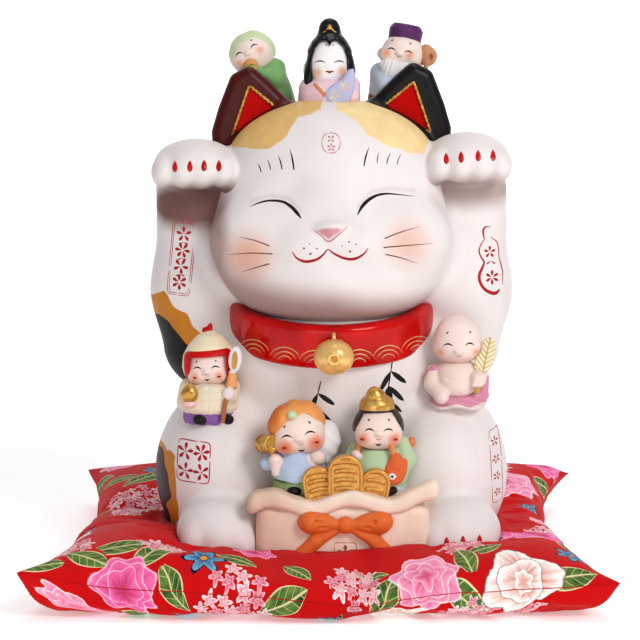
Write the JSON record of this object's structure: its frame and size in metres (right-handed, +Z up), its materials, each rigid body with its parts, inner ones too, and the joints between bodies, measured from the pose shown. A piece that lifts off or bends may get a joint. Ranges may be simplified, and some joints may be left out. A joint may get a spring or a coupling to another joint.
{
  "type": "lucky cat figurine",
  "caption": "Ceramic seated cat with both paws raised, small lucky figures, a money bag and a collar with a bell, hollow as a coin bank, on a padded square cushion.",
  "frame": {"origin": "middle of the cushion's flat underside, where it rests on the table", "axes": "+Z up, the cat faces -Y, +X is the viewer's right"},
  "size_m": [0.276, 0.272, 0.2876],
  "materials": {
    "floral_fabric": "printed woven satin cotton",
    "white_ceramic": "matte white bisque with a soft sheen",
    "rubber_stopper": "matte",
    "brown_glaze": "satin painted",
    "black_glaze": "satin painted",
    "red_glaze": "glossy",
    "gold_paint": "satin gold lustre",
    "bag_bisque": "matte bisque",
    "orange_glaze": "satin painted",
    "skin_bisque": "matte bisque",
    "green_glaze": "matte painted",
    "pink_glaze": "matte painted",
    "lavender_glaze": "matte painted",
    "blue_glaze": "matte painted",
    "purple_glaze": "matte painted",
    "figure_white": "matte painted",
    "wood_brown": "matte painted",
    "cream_glaze": "matte painted"
  },
  "bodies": {
    "cushion": {"cushion": "floral_fabric"},
    "figurine": {"body_shell": "white_ceramic", "base_disc": "white_ceramic", "head_shell": "white_ceramic", "left_arm": "white_ceramic", "right_arm": "white_ceramic", "left_paw": "white_ceramic", "right_paw": "white_ceramic", "left_ear": "brown_glaze", "right_ear": "black_glaze", "left_ear_inner": "red_glaze", "right_ear_inner": "red_glaze", "left_foot": "white_ceramic", "right_foot": "white_ceramic", "tail": "brown_glaze", "collar": "red_glaze", "bell": "gold_paint", "money_bag": "bag_bisque", "bag_mouth": "bag_bisque", "bag_bow": "orange_glaze", "left_coin": "gold_paint", "middle_coin": "gold_paint", "right_coin": "gold_paint", "peach_elder_robe": "green_glaze", "peach_elder_head": "skin_bisque", "peach_elder_hood": "green_glaze", "peach": "orange_glaze", "lute_lady_kimono": "pink_glaze", "lute_lady_face": "skin_bisque", "lute_lady_hair": "black_glaze", "hair_ornament": "gold_paint", "lute": "lavender_glaze", "bearded_elder_robe": "blue_glaze", "bearded_elder_head": "skin_bisque", "bearded_elder_cap": "purple_glaze", "beard": "figure_white", "staff": "wood_brown", "guardian_skirt": "purple_glaze", "guardian_armour": "cream_glaze", "guardian_head": "skin_bisque", "guardian_helmet": "cream_glaze", "pagoda": "gold_paint", "spear": "wood_brown", "fan_monk_robe": "pink_glaze", "fan_monk_belly": "skin_bisque", "fan_monk_head": "skin_bisque", "leaf_fan": "cream_glaze", "mallet_man_clothes": "blue_glaze", "mallet_man_head": "skin_bisque", "mallet_man_cap": "orange_glaze", "mallet": "gold_paint", "sack": "figure_white", "fisher_robe": "green_glaze", "fisher_head": "skin_bisque", "fisher_cap": "gold_paint", "fish": "orange_glaze"},
    "stopper": {"bottom_stopper": "rubber_stopper"}
  },
  "joints": [
    {"name": "figurine_lift", "type": "slide", "parent": "cushion", "child": "figurine", "axis": [0, 0, 1], "range_m": [0, 0.08]},
    {"name": "stopper_pull", "type": "slide", "parent": "figurine", "child": "stopper", "axis": [0, 0, -1], "range_m": [0, 0.009]}
  ]
}
